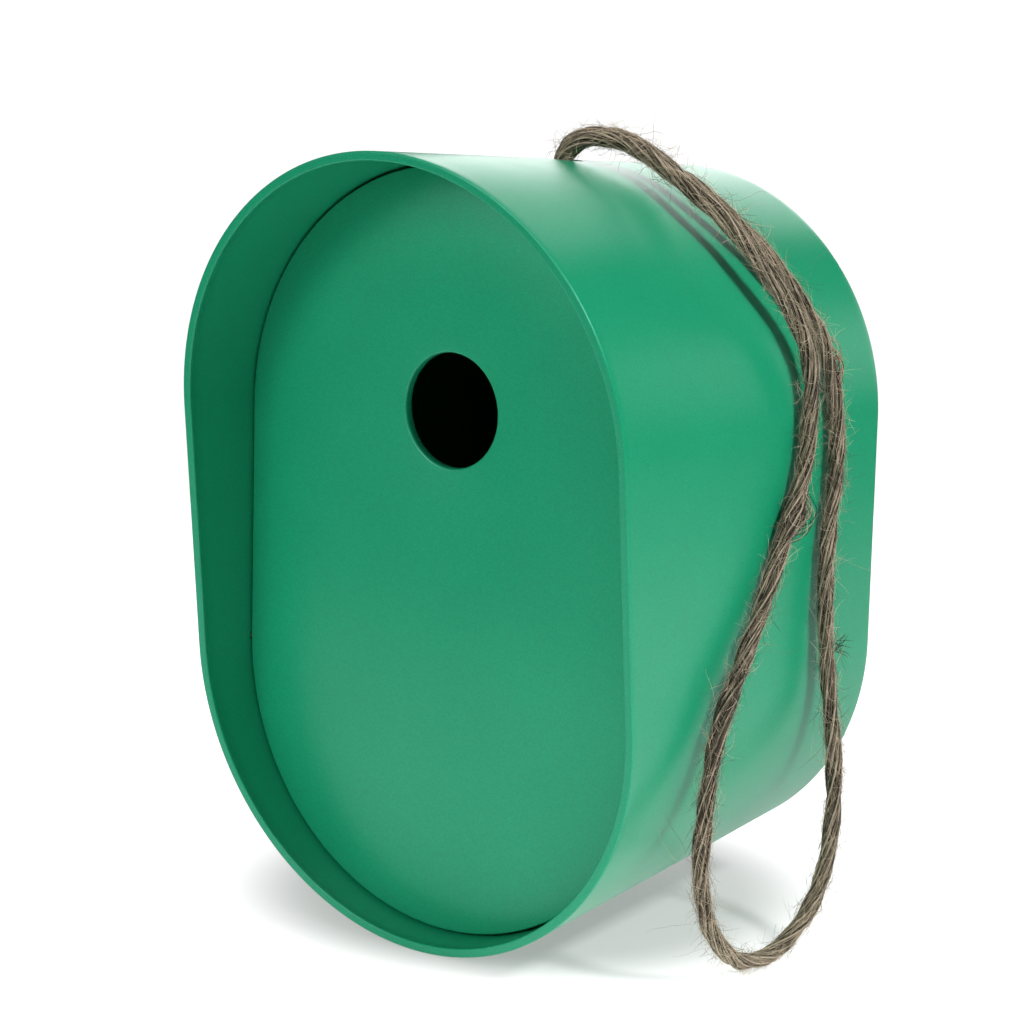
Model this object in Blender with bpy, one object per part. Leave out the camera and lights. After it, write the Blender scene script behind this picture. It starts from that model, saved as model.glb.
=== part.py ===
"""Hanging nest box: a tapered pill-shaped tub, a tilting front panel with a round entrance, and a rope loop.

Frame: metres, +Z up. The origin is the centre of the flat outside of the back wall. The entrance looks
along -Y, and +X is on the right of someone who looks at the entrance.
"""
import math

import bmesh
import bpy
from mathutils import Matrix, Vector

# Tub: a pill-shaped outline at the mouth, lofted to a smaller one at the back.
MOUTH_WIDTH = 0.154
MOUTH_HEIGHT = 0.224
BACK_WIDTH = 0.1368
BACK_HEIGHT = 0.2026
DEPTH = 0.1335                       # from the back to the middle of the mouth
MOUTH_LEAN = math.radians(5.27)      # the mouth's top stands forward, as a rain hood
WALL = 0.0020
BACK_WALL = 0.0025
LIP_WIDTH = 0.0026                   # the wall thickens at the mouth
LIP_DEPTH = 0.0030
ARC_STEPS = 32                       # facets in each half circle of the outline

# Front panel: flat, parallel to the back, inset in the mouth.
PANEL_INSET = 0.0213                 # from the middle of the mouth to the panel's face
PANEL_THICKNESS = 0.0030
PANEL_GAP = 0.0006
FLANGE_INSET = 0.0030                # the stiffening flange behind the panel, in from its edge
FLANGE_THICKNESS = 0.0018
FLANGE_DEPTH = 0.0070
FLANGE_OPENING = 0.032               # width cut from the flange's top for the stop and the catch
ENTRANCE_RADIUS = 0.016
ENTRANCE_HEIGHT = 0.0398             # of its centre over the middle of the box
RUNG_COUNT = 7
RUNG_PITCH = 0.008
RUNG_WIDTH = 0.036
RUNG_SIZE = 0.0012

# Hinge: two short steel pins in the panel's edge, turning in blind holes in the tub's side walls.
PIN_RADIUS = 0.0008
PIN_LENGTH = 0.0090
PIN_IN_WALL = 0.0010
RUNNING_GAP = 0.0003
EAR_RADIUS = 0.0042
EAR_LENGTH = 0.0090
EAR_SETBACK = 0.0008                 # from the panel's edge

# Catch: a toggle on a boss behind the panel, which turns up behind the stop on the tub's roof.
STOP_WIDTH = 0.014
STOP_HEIGHT = 0.0068
STOP_THICKNESS = 0.0022
TOGGLE_PIVOT_HEIGHT = 0.0835
TOGGLE_REACH = 0.0205
TOGGLE_TAIL = 0.0150
TOGGLE_WIDTH = 0.0085
TOGGLE_THICKNESS = 0.0022
TOGGLE_BOSS_RADIUS = 0.0042
SCREW_RADIUS = 0.0016
SCREW_HEAD_RADIUS = 0.0034
SCREW_HEAD_HEIGHT = 0.0018
SCREW_LENGTH = 0.0080
WASHER_THICKNESS = 0.0008

# Holes in the tub.
ROPE_HOLE_RADIUS = 0.0060
ROPE_HOLE_FROM_BACK = 0.0635
DRAIN_RADIUS = 0.0025
DRAINS_FROM_BACK = (0.025, 0.050, 0.075)
KEYHOLE_HEIGHT = 0.062
KEYHOLE_HEAD_RADIUS = 0.0045
KEYHOLE_SLOT_RADIUS = 0.0023
KEYHOLE_TRAVEL = 0.0090

# Rope: a loop of natural cord, both ends through the roof hole into one knot under a washer.
ROPE_RADIUS = 0.0023
ROPE_STEP = 0.0085
ROPE_WASHER_RADIUS = 0.0120
ROPE_WASHER_THICKNESS = 0.0012
KNOT_RADII = (0.0095, 0.0082, 0.0072)
KNOT_CENTRE = (0.0, -0.0635, 0.0938)
TOUCH_GAP = 0.0003
ROPE_ROUTE = (
    (0.0016, -0.0653, 0.1014),
    (0.0017, -0.0654, 0.1066),
    (0.0058, -0.0649, 0.1108),
    (0.0115, -0.0629, 0.1127),
    (0.0205, -0.0616, 0.1114),
    (0.0340, -0.0642, 0.1064),
    (0.0463, -0.0669, 0.1004),
    (0.0573, -0.0649, 0.0924),
    (0.0655, -0.0602, 0.0809),
    (0.0709, -0.0529, 0.0691),
    (0.0745, -0.0481, 0.0549),
    (0.0751, -0.0483, 0.0380),
    (0.0754, -0.0512, 0.0230),
    (0.0756, -0.0587, 0.0090),
    (0.0766, -0.0693, -0.0076),
    (0.0784, -0.0822, -0.0231),
    (0.0797, -0.0939, -0.0386),
    (0.0805, -0.1003, -0.0570),
    (0.0807, -0.1022, -0.0770),
    (0.0803, -0.0971, -0.0929),
    (0.0806, -0.0851, -0.1053),
    (0.0813, -0.0705, -0.1088),
    (0.0816, -0.0557, -0.1051),
    (0.0813, -0.0430, -0.0953),
    (0.0800, -0.0353, -0.0787),
    (0.0785, -0.0332, -0.0610),
    (0.0766, -0.0345, -0.0400),
    (0.0748, -0.0356, -0.0150),
    (0.0740, -0.0342, 0.0050),
    (0.0741, -0.0317, 0.0210),
    (0.0735, -0.0318, 0.0380),
    (0.0709, -0.0344, 0.0560),
    (0.0672, -0.0418, 0.0692),
    (0.0592, -0.0508, 0.0846),
    (0.0466, -0.0579, 0.0975),
    (0.0318, -0.0570, 0.1053),
    (0.0194, -0.0556, 0.1110),
    (0.0090, -0.0572, 0.1134),
    (0.0006, -0.0600, 0.1110),
    (-0.0021, -0.0615, 0.1063),
    (-0.0021, -0.0616, 0.1014),
)
TAIL_ROUTES = {
    "rope_tail_left": ((-0.0042, -0.0630, 0.0868), (-0.0066, -0.0640, 0.0790), (-0.0080, -0.0650, 0.0690)),
    "rope_tail_right": ((0.0042, -0.0640, 0.0868), (0.0070, -0.0622, 0.0800), (0.0098, -0.0600, 0.0715)),
}

# Places worked out from the sizes above.
PANEL_FRONT_Y = PANEL_INSET - DEPTH
PANEL_BACK_Y = PANEL_FRONT_Y + PANEL_THICKNESS
PIVOT_Y = PANEL_FRONT_Y + PANEL_THICKNESS / 2.0
FLANGE_BACK_Y = PANEL_BACK_Y + FLANGE_DEPTH
STOP_Y = PANEL_BACK_Y + PANEL_GAP
TOGGLE_Y = STOP_Y + STOP_THICKNESS + 0.0008

GREEN = (0.030, 0.330, 0.170, 1.0)
CATCH_GREEN = (0.015, 0.190, 0.095, 1.0)
STEEL = (0.55, 0.56, 0.57, 1.0)
NYLON = (0.75, 0.74, 0.70, 1.0)
JUTE = (0.200, 0.160, 0.110, 1.0)


def clear_scene():
    for old in list(bpy.data.objects):
        bpy.data.objects.remove(old, do_unlink=True)


def make_material(name, colour, roughness, metallic=0.0):
    material = bpy.data.materials.new(name)
    material.use_nodes = True
    shader = material.node_tree.nodes["Principled BSDF"]
    shader.inputs["Base Color"].default_value = colour
    shader.inputs["Roughness"].default_value = roughness
    shader.inputs["Metallic"].default_value = metallic
    return material


def make_object(name, mesh, material=None):
    made = bpy.data.objects.new(name, mesh)
    bpy.context.scene.collection.objects.link(made)
    if material is not None:
        mesh.materials.append(material)
        mesh.shade_smooth()
        mesh.set_sharp_from_angle(angle=math.radians(30.0))
    return made


def object_from_bmesh(name, shape, material=None):
    bmesh.ops.recalc_face_normals(shape, faces=shape.faces)
    mesh = bpy.data.meshes.new(name)
    shape.to_mesh(mesh)
    shape.free()
    return make_object(name, mesh, material)


def cylinder(name, radius, length, centre, axis, segments=24, material=None):
    """A plain cylinder centred on a point, with its axis along a direction."""
    shape = bmesh.new()
    turn = Vector(axis).to_track_quat("Z", "Y").to_matrix().to_4x4()
    bmesh.ops.create_cone(shape, cap_ends=True, segments=segments, radius1=radius, radius2=radius,
                          depth=length, matrix=Matrix.Translation(centre) @ turn)
    return object_from_bmesh(name, shape, material)


def block(name, low, high, material=None):
    """A box between two opposite corners."""
    shape = bmesh.new()
    low = Vector(low)
    high = Vector(high)
    size = high - low
    place = Matrix.Translation((low + high) / 2.0) @ Matrix.Diagonal((size.x, size.y, size.z, 1.0))
    bmesh.ops.create_cube(shape, size=1.0, matrix=place)
    return object_from_bmesh(name, shape, material)


def combine(target, tool, operation):
    """Join a tool to a target, or cut it out, and remove the tool."""
    modifier = target.modifiers.new(operation.lower(), "BOOLEAN")
    modifier.operation = operation
    modifier.solver = "EXACT"
    modifier.object = tool
    bpy.context.view_layer.update()
    graph = bpy.context.evaluated_depsgraph_get()
    result = bpy.data.meshes.new_from_object(target.evaluated_get(graph), depsgraph=graph)
    target.modifiers.clear()
    target.data = result
    bpy.data.objects.remove(tool, do_unlink=True)


def pill(half_width, half_height):
    """Outline (x, z) of two half circles joined by straight sides."""
    centre = half_height - half_width
    points = []
    for middle, start in ((centre, 0.0), (-centre, math.pi)):
        for step in range(ARC_STEPS + 1):
            angle = start + math.pi * step / ARC_STEPS
            points.append((half_width * math.cos(angle), middle + half_width * math.sin(angle)))
    return points


def mouth_y(z):
    return -(DEPTH + z * math.tan(MOUTH_LEAN))


def wall_outline(y=None, inset=0.0, behind_mouth=0.0):
    """Outline of the tapered wall at a depth, or at or behind the leaning mouth where none is given."""
    mouth = pill(MOUTH_WIDTH / 2.0 - inset, MOUTH_HEIGHT / 2.0 - inset)
    back = pill(BACK_WIDTH / 2.0 - inset, BACK_HEIGHT / 2.0 - inset)
    points = []
    for (mouth_x, mouth_z), (back_x, back_z) in zip(mouth, back):
        edge_y = mouth_y(mouth_z)
        depth = edge_y + behind_mouth if y is None else y
        share = 1.0 - depth / edge_y
        points.append(Vector((
            mouth_x + (back_x - mouth_x) * share,
            edge_y * (1.0 - share),
            mouth_z + (back_z - mouth_z) * share,
        )))
    return points


def ring_stack(name, rings, material=None, closed=False):
    """A body skinned over rings of equal length, capped at both ends unless it closes on itself."""
    shape = bmesh.new()
    loops = [[shape.verts.new(point) for point in ring] for ring in rings]
    count = len(loops[0])
    pairs = list(zip(loops, loops[1:]))
    if closed:
        pairs.append((loops[-1], loops[0]))
    for first, second in pairs:
        for index in range(count):
            after = (index + 1) % count
            shape.faces.new((first[index], first[after], second[after], second[index]))
    if not closed:
        shape.faces.new(loops[0])
        shape.faces.new(loops[-1])
    return object_from_bmesh(name, shape, material)


def shifted(outline, y):
    return [Vector((point.x, y, point.z)) for point in outline]


def side_wall_x(y, z, inset):
    """Half width inside the tub at a depth and a height on the straight side."""
    outline = wall_outline(y, inset)
    near = min(outline, key=lambda point: abs(point.z - z) + (0.0 if point.x > 0.0 else 1.0))
    return near.x


def roof_height(y, inset):
    return max(point.z for point in wall_outline(y, inset))


def pivot_height():
    """The hinge crosses the box at the centre of the panel's lower half circle."""
    outline = wall_outline(PANEL_BACK_Y, WALL + PANEL_GAP)
    lowest = min(point.z for point in outline)
    widest = max(point.x for point in outline if point.z < 0.0)
    return lowest + widest


def roof_slope():
    rise = roof_height(-ROPE_HOLE_FROM_BACK - 0.01, 0.0) - roof_height(-ROPE_HOLE_FROM_BACK + 0.01, 0.0)
    return math.atan2(rise, 0.02)


def cut_tub_holes(tub):
    roof = Vector((0.0, -ROPE_HOLE_FROM_BACK, roof_height(-ROPE_HOLE_FROM_BACK, WALL / 2.0)))
    combine(tub, cylinder("cut", ROPE_HOLE_RADIUS, 0.02, roof, (0.0, 0.0, 1.0), 32), "DIFFERENCE")
    for from_back in DRAINS_FROM_BACK:
        floor = Vector((0.0, -from_back, -roof_height(-from_back, WALL / 2.0)))
        combine(tub, cylinder("cut", DRAIN_RADIUS, 0.01, floor, (0.0, 0.0, 1.0), 16), "DIFFERENCE")
    head = Vector((0.0, -BACK_WALL / 2.0, KEYHOLE_HEIGHT))
    combine(tub, cylinder("cut", KEYHOLE_HEAD_RADIUS, 0.01, head, (0.0, 1.0, 0.0), 24), "DIFFERENCE")
    combine(tub, keyhole_slot(head), "DIFFERENCE")


def keyhole_slot(head):
    """The narrow arm of the keyhole, straight up from the round opening and round at its top."""
    outline = [(KEYHOLE_SLOT_RADIUS, 0.0)]
    for step in range(13):
        angle = math.pi * step / 12
        outline.append((KEYHOLE_SLOT_RADIUS * math.cos(angle),
                        KEYHOLE_TRAVEL + KEYHOLE_SLOT_RADIUS * math.sin(angle)))
    outline.append((-KEYHOLE_SLOT_RADIUS, 0.0))
    rings = []
    for y in (-0.005, 0.005):
        rings.append([head + Vector((x, y, z)) for x, z in outline])
    return ring_stack("cut", rings)


def build_tub(material):
    rings = [
        wall_outline(0.0),
        wall_outline(),
        wall_outline(inset=LIP_WIDTH),
        wall_outline(inset=WALL, behind_mouth=LIP_DEPTH),
        wall_outline(-BACK_WALL, WALL),
    ]
    tub = ring_stack("shell", rings, material)
    bury = WALL / 2.0
    inside = side_wall_x(PIVOT_Y, pivot_height(), WALL)
    for side in (-1.0, 1.0):
        centre = (side * inside, PIVOT_Y, pivot_height())
        depth = 2.0 * (PIN_IN_WALL + RUNNING_GAP)
        bore = cylinder("bore", PIN_RADIUS + RUNNING_GAP, depth, centre, (1.0, 0.0, 0.0), 20)
        combine(tub, bore, "DIFFERENCE")
    roof = roof_height(STOP_Y, WALL)
    stop = block("stop", (-STOP_WIDTH / 2.0, STOP_Y, roof - STOP_HEIGHT),
                 (STOP_WIDTH / 2.0, STOP_Y + STOP_THICKNESS, roof + bury))
    combine(tub, stop, "UNION")
    cut_tub_holes(tub)
    finish_faces(tub)
    return tub


def finish_faces(made):
    made.data.shade_smooth()
    made.data.set_sharp_from_angle(angle=math.radians(30.0))


def build_panel(material):
    """The flat panel with its entrance, flange, ears, rungs and catch boss, all moulded in one."""
    edge = wall_outline(PANEL_BACK_Y, WALL + PANEL_GAP)
    panel = ring_stack("front_panel", [shifted(edge, PANEL_FRONT_Y), shifted(edge, PANEL_BACK_Y)], material)
    combine(panel, build_flange(), "UNION")
    for side in (-1.0, 1.0):
        combine(panel, ear(side), "UNION")
    for rung in range(RUNG_COUNT):
        height = ENTRANCE_HEIGHT - ENTRANCE_RADIUS - RUNG_PITCH * (rung + 1)
        combine(panel, block("rung", (-RUNG_WIDTH / 2.0, PANEL_BACK_Y - PANEL_THICKNESS / 2.0, height),
                             (RUNG_WIDTH / 2.0, PANEL_BACK_Y + RUNG_SIZE, height + RUNG_SIZE)), "UNION")
    boss_end = TOGGLE_Y - TOUCH_GAP
    boss_start = PANEL_BACK_Y - PANEL_THICKNESS / 2.0
    boss_centre = (0.0, (boss_start + boss_end) / 2.0, TOGGLE_PIVOT_HEIGHT)
    boss = cylinder("boss", TOGGLE_BOSS_RADIUS, boss_end - boss_start, boss_centre, (0.0, 1.0, 0.0), 24)
    combine(panel, boss, "UNION")
    bore_length = SCREW_LENGTH
    bore_centre = (0.0, screw_tip_y() - TOUCH_GAP + bore_length / 2.0, TOGGLE_PIVOT_HEIGHT)
    bore = cylinder("bore", SCREW_RADIUS + TOUCH_GAP, bore_length, bore_centre, (0.0, 1.0, 0.0), 20)
    combine(panel, bore, "DIFFERENCE")
    entrance = cylinder("cut", ENTRANCE_RADIUS, 0.02, (0.0, PIVOT_Y, ENTRANCE_HEIGHT), (0.0, 1.0, 0.0), 64)
    combine(panel, entrance, "DIFFERENCE")
    finish_faces(panel)
    return panel


def panel_half_width():
    return side_wall_x(PANEL_BACK_Y, pivot_height(), WALL + PANEL_GAP)


def build_flange():
    outer = wall_outline(PANEL_BACK_Y, WALL + PANEL_GAP + FLANGE_INSET)
    inner = wall_outline(PANEL_BACK_Y, WALL + PANEL_GAP + FLANGE_INSET + FLANGE_THICKNESS)
    start_y = PANEL_BACK_Y - PANEL_THICKNESS / 2.0
    rings = [shifted(outer, start_y), shifted(outer, FLANGE_BACK_Y),
             shifted(inner, FLANGE_BACK_Y), shifted(inner, start_y)]
    flange = ring_stack("flange", rings, closed=True)
    half = FLANGE_OPENING / 2.0
    opening = block("cut", (-half, start_y - 0.001, 0.05), (half, FLANGE_BACK_Y + 0.001, 0.15))
    combine(flange, opening, "DIFFERENCE")
    return flange


def ear(side):
    """Half a round lug behind the panel, around a pin."""
    centre_x = side * (panel_half_width() - EAR_SETBACK - EAR_LENGTH / 2.0)
    centre = (centre_x, PIVOT_Y, pivot_height())
    lug = cylinder("ear", EAR_RADIUS, EAR_LENGTH, centre, (1.0, 0.0, 0.0), 28)
    front = block("cut", (centre_x - EAR_LENGTH, PIVOT_Y - 0.02, pivot_height() - 0.02),
                  (centre_x + EAR_LENGTH, PIVOT_Y, pivot_height() + 0.02))
    combine(lug, front, "DIFFERENCE")
    return lug


def screw_tip_y():
    """The front end of the catch screw, inside the panel's boss."""
    return TOGGLE_Y + TOGGLE_THICKNESS + TOUCH_GAP + WASHER_THICKNESS + TOUCH_GAP - SCREW_LENGTH + 0.0016


def sweep(name, points, radius, material):
    """A closed round tube along points."""
    curve = bpy.data.curves.new(name, "CURVE")
    curve.dimensions = "3D"
    curve.bevel_depth = radius
    curve.bevel_resolution = 3
    curve.use_fill_caps = True
    spline = curve.splines.new("POLY")
    spline.points.add(len(points) - 1)
    for target, point in zip(spline.points, points):
        target.co = (point[0], point[1], point[2], 1.0)
    tube = bpy.data.objects.new(name, curve)
    bpy.context.scene.collection.objects.link(tube)
    curve.materials.append(material)
    return tube


def smooth_route(points, step):
    """Evenly spaced points on a smooth curve through the given points."""
    knots = [Vector(point) for point in points]
    padded = [2.0 * knots[0] - knots[1]] + knots + [2.0 * knots[-1] - knots[-2]]
    fine = []
    for before, start, end, after in zip(padded, padded[1:], padded[2:], padded[3:]):
        for part in range(20):
            share = part / 20.0
            square = share * share
            cube = square * share
            fine.append(0.5 * (2.0 * start + (end - before) * share
                               + (2.0 * before - 5.0 * start + 4.0 * end - after) * square
                               + (3.0 * start - before - 3.0 * end + after) * cube))
    fine.append(knots[-1])
    distance = [0.0]
    for start, end in zip(fine, fine[1:]):
        distance.append(distance[-1] + (end - start).length)
    count = max(2, round(distance[-1] / step))
    result = []
    index = 0
    for number in range(count + 1):
        wanted = distance[-1] * number / count
        while index < len(fine) - 2 and distance[index + 1] < wanted:
            index += 1
        share = (wanted - distance[index]) / (distance[index + 1] - distance[index])
        result.append(fine[index].lerp(fine[index + 1], share))
    return result


def build_rope(material):
    sweep("rope", smooth_route(ROPE_ROUTE, ROPE_STEP), ROPE_RADIUS, material)
    for name, route in TAIL_ROUTES.items():
        sweep(name, smooth_route(route, ROPE_STEP / 2.0), ROPE_RADIUS, material)
    shape = bmesh.new()
    place = Matrix.Translation(KNOT_CENTRE) @ Matrix.Diagonal((*KNOT_RADII, 1.0))
    bmesh.ops.create_icosphere(shape, subdivisions=3, radius=1.0, matrix=place)
    object_from_bmesh("rope_knot", shape, material)


def build_rope_washer(material):
    """A plain washer under the roof, parallel to it, that the knot pulls against."""
    y = -ROPE_HOLE_FROM_BACK
    under_roof = roof_height(y, WALL) - ROPE_WASHER_RADIUS ** 2 / (BACK_WIDTH - 2.0 * WALL)
    height = under_roof - TOUCH_GAP - ROPE_WASHER_THICKNESS / 2.0 - 0.0004
    lean = Vector((0.0, math.sin(roof_slope()), math.cos(roof_slope())))
    centre = Vector((0.0, y, height))
    washer = cylinder("rope_washer", ROPE_WASHER_RADIUS, ROPE_WASHER_THICKNESS, centre, lean, 32, material)
    hole = cylinder("cut", ROPE_HOLE_RADIUS, 0.01, centre, (0.0, 0.0, 1.0), 32)
    combine(washer, hole, "DIFFERENCE")
    finish_faces(washer)


def build_pins(material):
    outer = side_wall_x(PIVOT_Y, pivot_height(), WALL) + PIN_IN_WALL
    for name, side in (("pivot_pin_left", -1.0), ("pivot_pin_right", 1.0)):
        centre = (side * (outer - PIN_LENGTH / 2.0), PIVOT_Y, pivot_height())
        cylinder(name, PIN_RADIUS, PIN_LENGTH, centre, (1.0, 0.0, 0.0), 20, material)


def build_catch(green, steel, nylon):
    """Toggle, washer and screw; the toggle lies across, with the catch open."""
    outline = []
    half = TOGGLE_WIDTH / 2.0
    for middle, start in ((TOGGLE_REACH - half, -math.pi / 2.0), (-(TOGGLE_TAIL - half), math.pi / 2.0)):
        for step in range(13):
            angle = start + math.pi * step / 12
            outline.append((middle + half * math.cos(angle), half * math.sin(angle)))
    rings = []
    for y in (0.0, TOGGLE_THICKNESS):
        rings.append([Vector((x, y, z)) for x, z in outline])
    toggle = ring_stack("latch_toggle", rings, green)
    bore = cylinder("cut", SCREW_RADIUS + RUNNING_GAP, 0.02, (0.0, 0.0, 0.0), (0.0, 1.0, 0.0), 24)
    combine(toggle, bore, "DIFFERENCE")
    finish_faces(toggle)
    toggle.location = (0.0, TOGGLE_Y, TOGGLE_PIVOT_HEIGHT)

    washer_y = TOGGLE_Y + TOGGLE_THICKNESS + TOUCH_GAP + WASHER_THICKNESS / 2.0
    centre = (0.0, washer_y, TOGGLE_PIVOT_HEIGHT)
    washer = cylinder("latch_washer", SCREW_HEAD_RADIUS, WASHER_THICKNESS, centre, (0.0, 1.0, 0.0), 24, nylon)
    hole = cylinder("cut", SCREW_RADIUS + TOUCH_GAP, 0.01, centre, (0.0, 1.0, 0.0), 24)
    combine(washer, hole, "DIFFERENCE")
    finish_faces(washer)

    head_start = washer_y + WASHER_THICKNESS / 2.0 + TOUCH_GAP
    profile = [
        (SCREW_RADIUS, screw_tip_y()),
        (SCREW_RADIUS, head_start),
        (SCREW_HEAD_RADIUS, head_start),
        (SCREW_HEAD_RADIUS, head_start + SCREW_HEAD_HEIGHT * 0.55),
        (SCREW_HEAD_RADIUS * 0.72, head_start + SCREW_HEAD_HEIGHT),
    ]
    rings = []
    for radius, y in profile:
        ring = []
        for step in range(24):
            angle = 2.0 * math.pi * step / 24
            ring.append(Vector((radius * math.cos(angle), y, TOGGLE_PIVOT_HEIGHT + radius * math.sin(angle))))
        rings.append(ring)
    screw = ring_stack("latch_screw", rings, steel)
    slot_y = head_start + SCREW_HEAD_HEIGHT
    slot = block("cut", (-0.004, slot_y - 0.0008, TOGGLE_PIVOT_HEIGHT - 0.0004),
                 (0.004, slot_y + 0.001, TOGGLE_PIVOT_HEIGHT + 0.0004))
    combine(screw, slot, "DIFFERENCE")
    finish_faces(screw)


def bore_ears(panel):
    """The pins' bores, cut last so that they run through the flange and the ears."""
    outer = panel_half_width()
    for side in (-1.0, 1.0):
        centre = (side * outer, PIVOT_Y, pivot_height())
        bore = cylinder("bore", PIN_RADIUS + TOUCH_GAP, 2.0 * PIN_LENGTH, centre, (1.0, 0.0, 0.0), 20)
        combine(panel, bore, "DIFFERENCE")
    finish_faces(panel)


def main():
    clear_scene()
    green = make_material("green_plastic", GREEN, 0.42)
    catch_green = make_material("catch_plastic", CATCH_GREEN, 0.45)
    steel = make_material("stainless_steel", STEEL, 0.28, 1.0)
    nylon = make_material("nylon", NYLON, 0.5)
    jute = make_material("jute", JUTE, 0.95)
    build_tub(green)
    bore_ears(build_panel(green))
    build_pins(steel)
    build_catch(catch_green, steel, nylon)
    build_rope_washer(steel)
    build_rope(jute)


main()
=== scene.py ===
"""Looks of the nest box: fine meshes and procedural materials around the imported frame.

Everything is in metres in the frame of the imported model: the origin is the centre of the back's outside,
the entrance looks along -Y, and +X is on the right of someone who looks at the entrance.
"""
import math

import bmesh
import bpy
import numpy as np
from mathutils import Matrix, Vector


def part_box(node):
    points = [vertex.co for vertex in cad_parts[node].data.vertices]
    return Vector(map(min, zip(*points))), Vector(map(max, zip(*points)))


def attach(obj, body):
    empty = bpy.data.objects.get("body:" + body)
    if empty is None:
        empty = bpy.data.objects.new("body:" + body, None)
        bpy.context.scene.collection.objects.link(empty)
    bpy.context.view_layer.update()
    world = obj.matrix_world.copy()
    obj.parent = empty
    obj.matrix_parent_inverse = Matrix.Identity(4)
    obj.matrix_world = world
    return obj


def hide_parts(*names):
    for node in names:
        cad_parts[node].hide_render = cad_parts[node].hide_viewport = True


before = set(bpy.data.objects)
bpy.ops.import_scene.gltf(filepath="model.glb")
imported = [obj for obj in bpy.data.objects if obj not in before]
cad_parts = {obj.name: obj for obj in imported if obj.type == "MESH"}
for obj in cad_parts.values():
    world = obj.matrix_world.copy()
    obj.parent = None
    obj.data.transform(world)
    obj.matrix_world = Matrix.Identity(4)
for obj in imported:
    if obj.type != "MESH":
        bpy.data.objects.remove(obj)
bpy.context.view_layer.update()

# ---------------------------------------------------------------- sizes

SHELL_LOW, SHELL_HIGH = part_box("shell")
MOUTH_WIDTH = SHELL_HIGH[0] - SHELL_LOW[0]
MOUTH_HEIGHT = SHELL_HIGH[2] - SHELL_LOW[2]
BACK_WIDTH = 0.1368
BACK_HEIGHT = 0.2026
DEPTH = 0.1335
MOUTH_LEAN = math.radians(5.27)
WALL = 0.0020
BACK_WALL = 0.0025
LIP_WIDTH = 0.0026
LIP_DEPTH = 0.0030
LIP_OUTER_ROUND = 0.0005
LIP_INNER_ROUND = 0.0004
BACK_EDGE_ROUND = 0.0010
BACK_CORNER_ROUND = 0.0030
STOP_HALF_WIDTH = 0.007
STOP_DROP = 0.0068
STOP_THICKNESS = 0.0022
STOP_EDGE = 0.0005

PANEL_FRONT_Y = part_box("front_panel")[0][1]
PANEL_THICKNESS = 0.0030
PANEL_BACK_Y = PANEL_FRONT_Y + PANEL_THICKNESS
PANEL_GAP = 0.0006
PIVOT_Y = PANEL_FRONT_Y + PANEL_THICKNESS / 2.0
ENTRANCE_RADIUS = 0.016
ENTRANCE_HEIGHT = 0.0398
FLANGE_INSET = 0.0030
FLANGE_THICKNESS = 0.0018
FLANGE_DEPTH = 0.0070
FLANGE_OPENING = 0.032
RIM_ROUND = 0.0005
HOLE_ROUND = 0.0007
RUNG_COUNT = 7
RUNG_HALF_WIDTH = 0.018
RUNG_PITCH = 0.008
RUNG_SIZE = 0.0012
EAR_RADIUS = 0.0042
EAR_LENGTH = 0.0090
EAR_GAP = 0.0008
BOSS_RADIUS = 0.0042
SCREW_HOLE_RADIUS = 0.0019
SCREW_HOLE_DEPTH = 0.008
RUNNING_GAP = 0.0003
PIN_BORE_RADIUS = 0.0011
PIN_BORE_DEPTH = 0.0013

ROPE_HOLE_RADIUS = 0.0054
ROPE_HOLE_FROM_BACK = 0.0635
DRAIN_RADIUS = 0.0025
DRAINS_FROM_BACK = (0.025, 0.050, 0.075)
KEYHOLE_HEIGHT = 0.062
KEYHOLE_HEAD_RADIUS = 0.0045
KEYHOLE_SLOT_RADIUS = 0.0023
KEYHOLE_TRAVEL = 0.0090

ROPE_RADIUS = 0.0023
ROPE_ROUTE = (
    (0.0016, -0.0653, 0.1014),
    (0.0017, -0.0654, 0.1066),
    (0.0058, -0.0649, 0.1108),
    (0.0115, -0.0629, 0.1127),
    (0.0205, -0.0616, 0.1114),
    (0.0340, -0.0642, 0.1064),
    (0.0463, -0.0669, 0.1004),
    (0.0573, -0.0649, 0.0924),
    (0.0655, -0.0602, 0.0809),
    (0.0709, -0.0529, 0.0691),
    (0.0745, -0.0481, 0.0549),
    (0.0751, -0.0483, 0.0380),
    (0.0754, -0.0512, 0.0230),
    (0.0756, -0.0587, 0.0090),
    (0.0766, -0.0693, -0.0076),
    (0.0784, -0.0822, -0.0231),
    (0.0797, -0.0939, -0.0386),
    (0.0805, -0.1003, -0.0570),
    (0.0807, -0.1022, -0.0770),
    (0.0803, -0.0971, -0.0929),
    (0.0806, -0.0851, -0.1053),
    (0.0813, -0.0705, -0.1088),
    (0.0816, -0.0557, -0.1051),
    (0.0813, -0.0430, -0.0953),
    (0.0800, -0.0353, -0.0787),
    (0.0785, -0.0332, -0.0610),
    (0.0766, -0.0345, -0.0400),
    (0.0748, -0.0356, -0.0150),
    (0.0740, -0.0342, 0.0050),
    (0.0741, -0.0317, 0.0210),
    (0.0735, -0.0318, 0.0380),
    (0.0709, -0.0344, 0.0560),
    (0.0672, -0.0418, 0.0692),
    (0.0592, -0.0508, 0.0846),
    (0.0466, -0.0579, 0.0975),
    (0.0318, -0.0570, 0.1053),
    (0.0194, -0.0556, 0.1110),
    (0.0090, -0.0572, 0.1134),
    (0.0006, -0.0600, 0.1110),
    (-0.0021, -0.0615, 0.1063),
    (-0.0021, -0.0616, 0.1014),
)
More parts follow.
